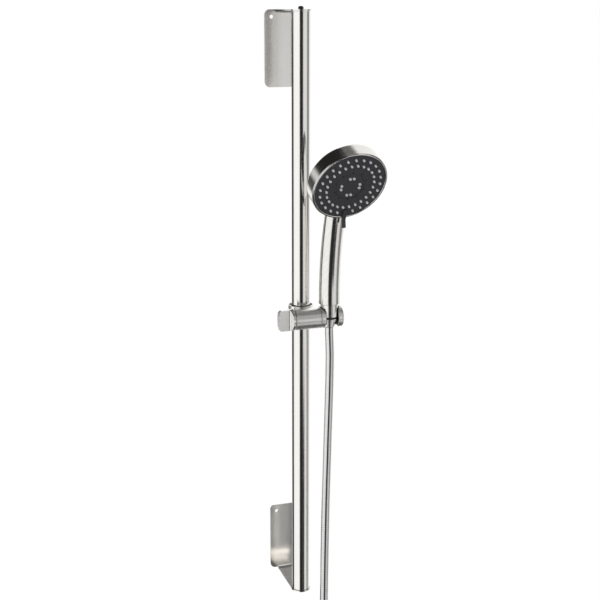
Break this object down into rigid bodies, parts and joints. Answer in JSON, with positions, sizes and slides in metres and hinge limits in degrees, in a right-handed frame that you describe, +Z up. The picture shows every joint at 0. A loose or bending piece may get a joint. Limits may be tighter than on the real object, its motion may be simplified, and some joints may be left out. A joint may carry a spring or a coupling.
{
  "type": "handheld shower head",
  "caption": "Handheld shower head on a clamp slider and tilting holder, with a round wall rail on two bent brackets and a metal spiral hose.",
  "frame": {"origin": "on the wall face of the lower bracket, at half its height and under the rail's axis", "axes": "+Z up along the rail, +Y into the wall, +X to the right as seen from the front"},
  "size_m": [0.158, 0.1812, 1.065],
  "materials": {
    "satin_nickel": "satin",
    "brushed_nickel": "brushed",
    "polished_nickel": "polished",
    "hose_steel": "ribbed",
    "steel": "turned",
    "black_steel": "black oxide",
    "brass": "turned",
    "black_plastic": "moulded",
    "charcoal_plastic": "fine matt",
    "white_plastic": "moulded",
    "grey_rubber": "matt",
    "dark_rubber": "matt"
  },
  "bodies": {
    "wall_rail": {"rail_tube": "satin_nickel", "lower_bracket": "satin_nickel", "upper_bracket": "satin_nickel", "lower_rail_plug": "black_plastic", "upper_rail_plug": "black_plastic", "lower_rail_screw": "black_steel", "upper_rail_screw": "black_steel"},
    "slider_bush": {"rail_bush": "black_plastic"},
    "slider": {"slider_housing": "brushed_nickel", "clamp_retainer": "steel", "knob_washer": "white_plastic", "tilt_spring_washer": "steel", "tilt_friction_washer": "black_plastic"},
    "clamp": {"clamp_knob": "brushed_nickel", "clamp_cam": "steel", "knob_screw": "steel"},
    "brake": {"brake_pad": "dark_rubber"},
    "holder": {"holder_socket": "brushed_nickel", "holder_liner": "black_plastic", "holder_cap": "polished_nickel", "tilt_bolt": "steel"},
    "hose_end": {"hose_spigot": "brass", "swivel_ring": "black_plastic", "hose_sleeve": "brushed_nickel"},
    "handset": {"handset_shell": "satin_nickel", "head_ring": "polished_nickel", "water_tube": "white_plastic", "inlet_connector": "brass", "filter_washer": "dark_rubber", "flow_restrictor": "white_plastic", "hose_nut": "brushed_nickel", "diverter_seat": "white_plastic", "diverter_seal": "dark_rubber", "pivot_screw": "steel", "detent_ball": "steel", "detent_spring": "steel"},
    "spray_face": {"face_plate": "charcoal_plastic", "nozzle_mat": "grey_rubber", "mist_insert": "charcoal_plastic", "spray_plate": "white_plastic", "diverter_rotor": "white_plastic", "selector_lever": "charcoal_plastic"},
    "hose": {"hose_tube": "hose_steel", "hose_coil": "hose_steel", "hose_tail": "hose_steel", "coil_tie": "black_plastic", "tail_sleeve": "brushed_nickel", "tail_spigot": "brass"},
    "wall_nut": {"wall_nut": "polished_nickel", "wall_washer": "dark_rubber"}
  },
  "joints": [
    {"name": "slider_slide", "type": "slide", "parent": "wall_rail", "child": "slider_bush", "axis": [0, 0, 1], "range_m": [-0.384, 0.375]},
    {"name": "slider_swing", "type": "hinge", "parent": "slider_bush", "child": "slider", "pos_m": [0, -0.07, 0.352], "axis": [0, 0, 1], "range_deg": [-35, 35]},
    {"name": "clamp_turn", "type": "hinge", "parent": "slider", "child": "clamp", "pos_m": [-0.03, -0.097, 0.352], "axis": [1, 0, 0], "range_deg": [0, 90]},
    {"name": "brake_press", "type": "slide", "parent": "slider", "child": "brake", "axis": [0, 1, 0], "range_m": [0, 0.0006]},
    {"name": "holder_tilt", "type": "hinge", "parent": "slider", "child": "holder", "pos_m": [0.0306, -0.097, 0.352], "axis": [1, 0, 0], "range_deg": [-5, 40]},
    {"name": "handset_lift", "type": "slide", "parent": "holder", "child": "hose_end", "axis": [0, 0, 1], "range_m": [0, 0.06]},
    {"name": "handset_spin", "type": "hinge", "parent": "hose_end", "child": "handset", "pos_m": [0.0306, -0.097, 0.352], "axis": [0, 0, 1], "range_deg": [-30, 60]},
    {"name": "spray_select", "type": "hinge", "parent": "handset", "child": "spray_face", "pos_m": [0.03579, -0.15627, 0.5336], "axis": [0.0755, -0.8627, -0.5], "range_deg": [-45, 45]},
    {"name": "hose_hang", "type": "hinge", "parent": "hose_end", "child": "hose", "pos_m": [0.0306, -0.097, 0.3375], "axis": [1, 0, 0], "range_deg": [-40, 5], "deforming": ["hose_tube"]},
    {"name": "wall_nut_spin", "type": "hinge", "parent": "hose", "child": "wall_nut", "pos_m": [0.098, -0.114, -0.298], "axis": [0, 0, 1], "continuous": true}
  ],
  "couplings": [
    {"joint": "brake_press", "follows": "clamp_turn", "m_per_rad": 0.000318},
    {"joint": "hose_hang", "follows": "holder_tilt", "ratio": -1}
  ]
}
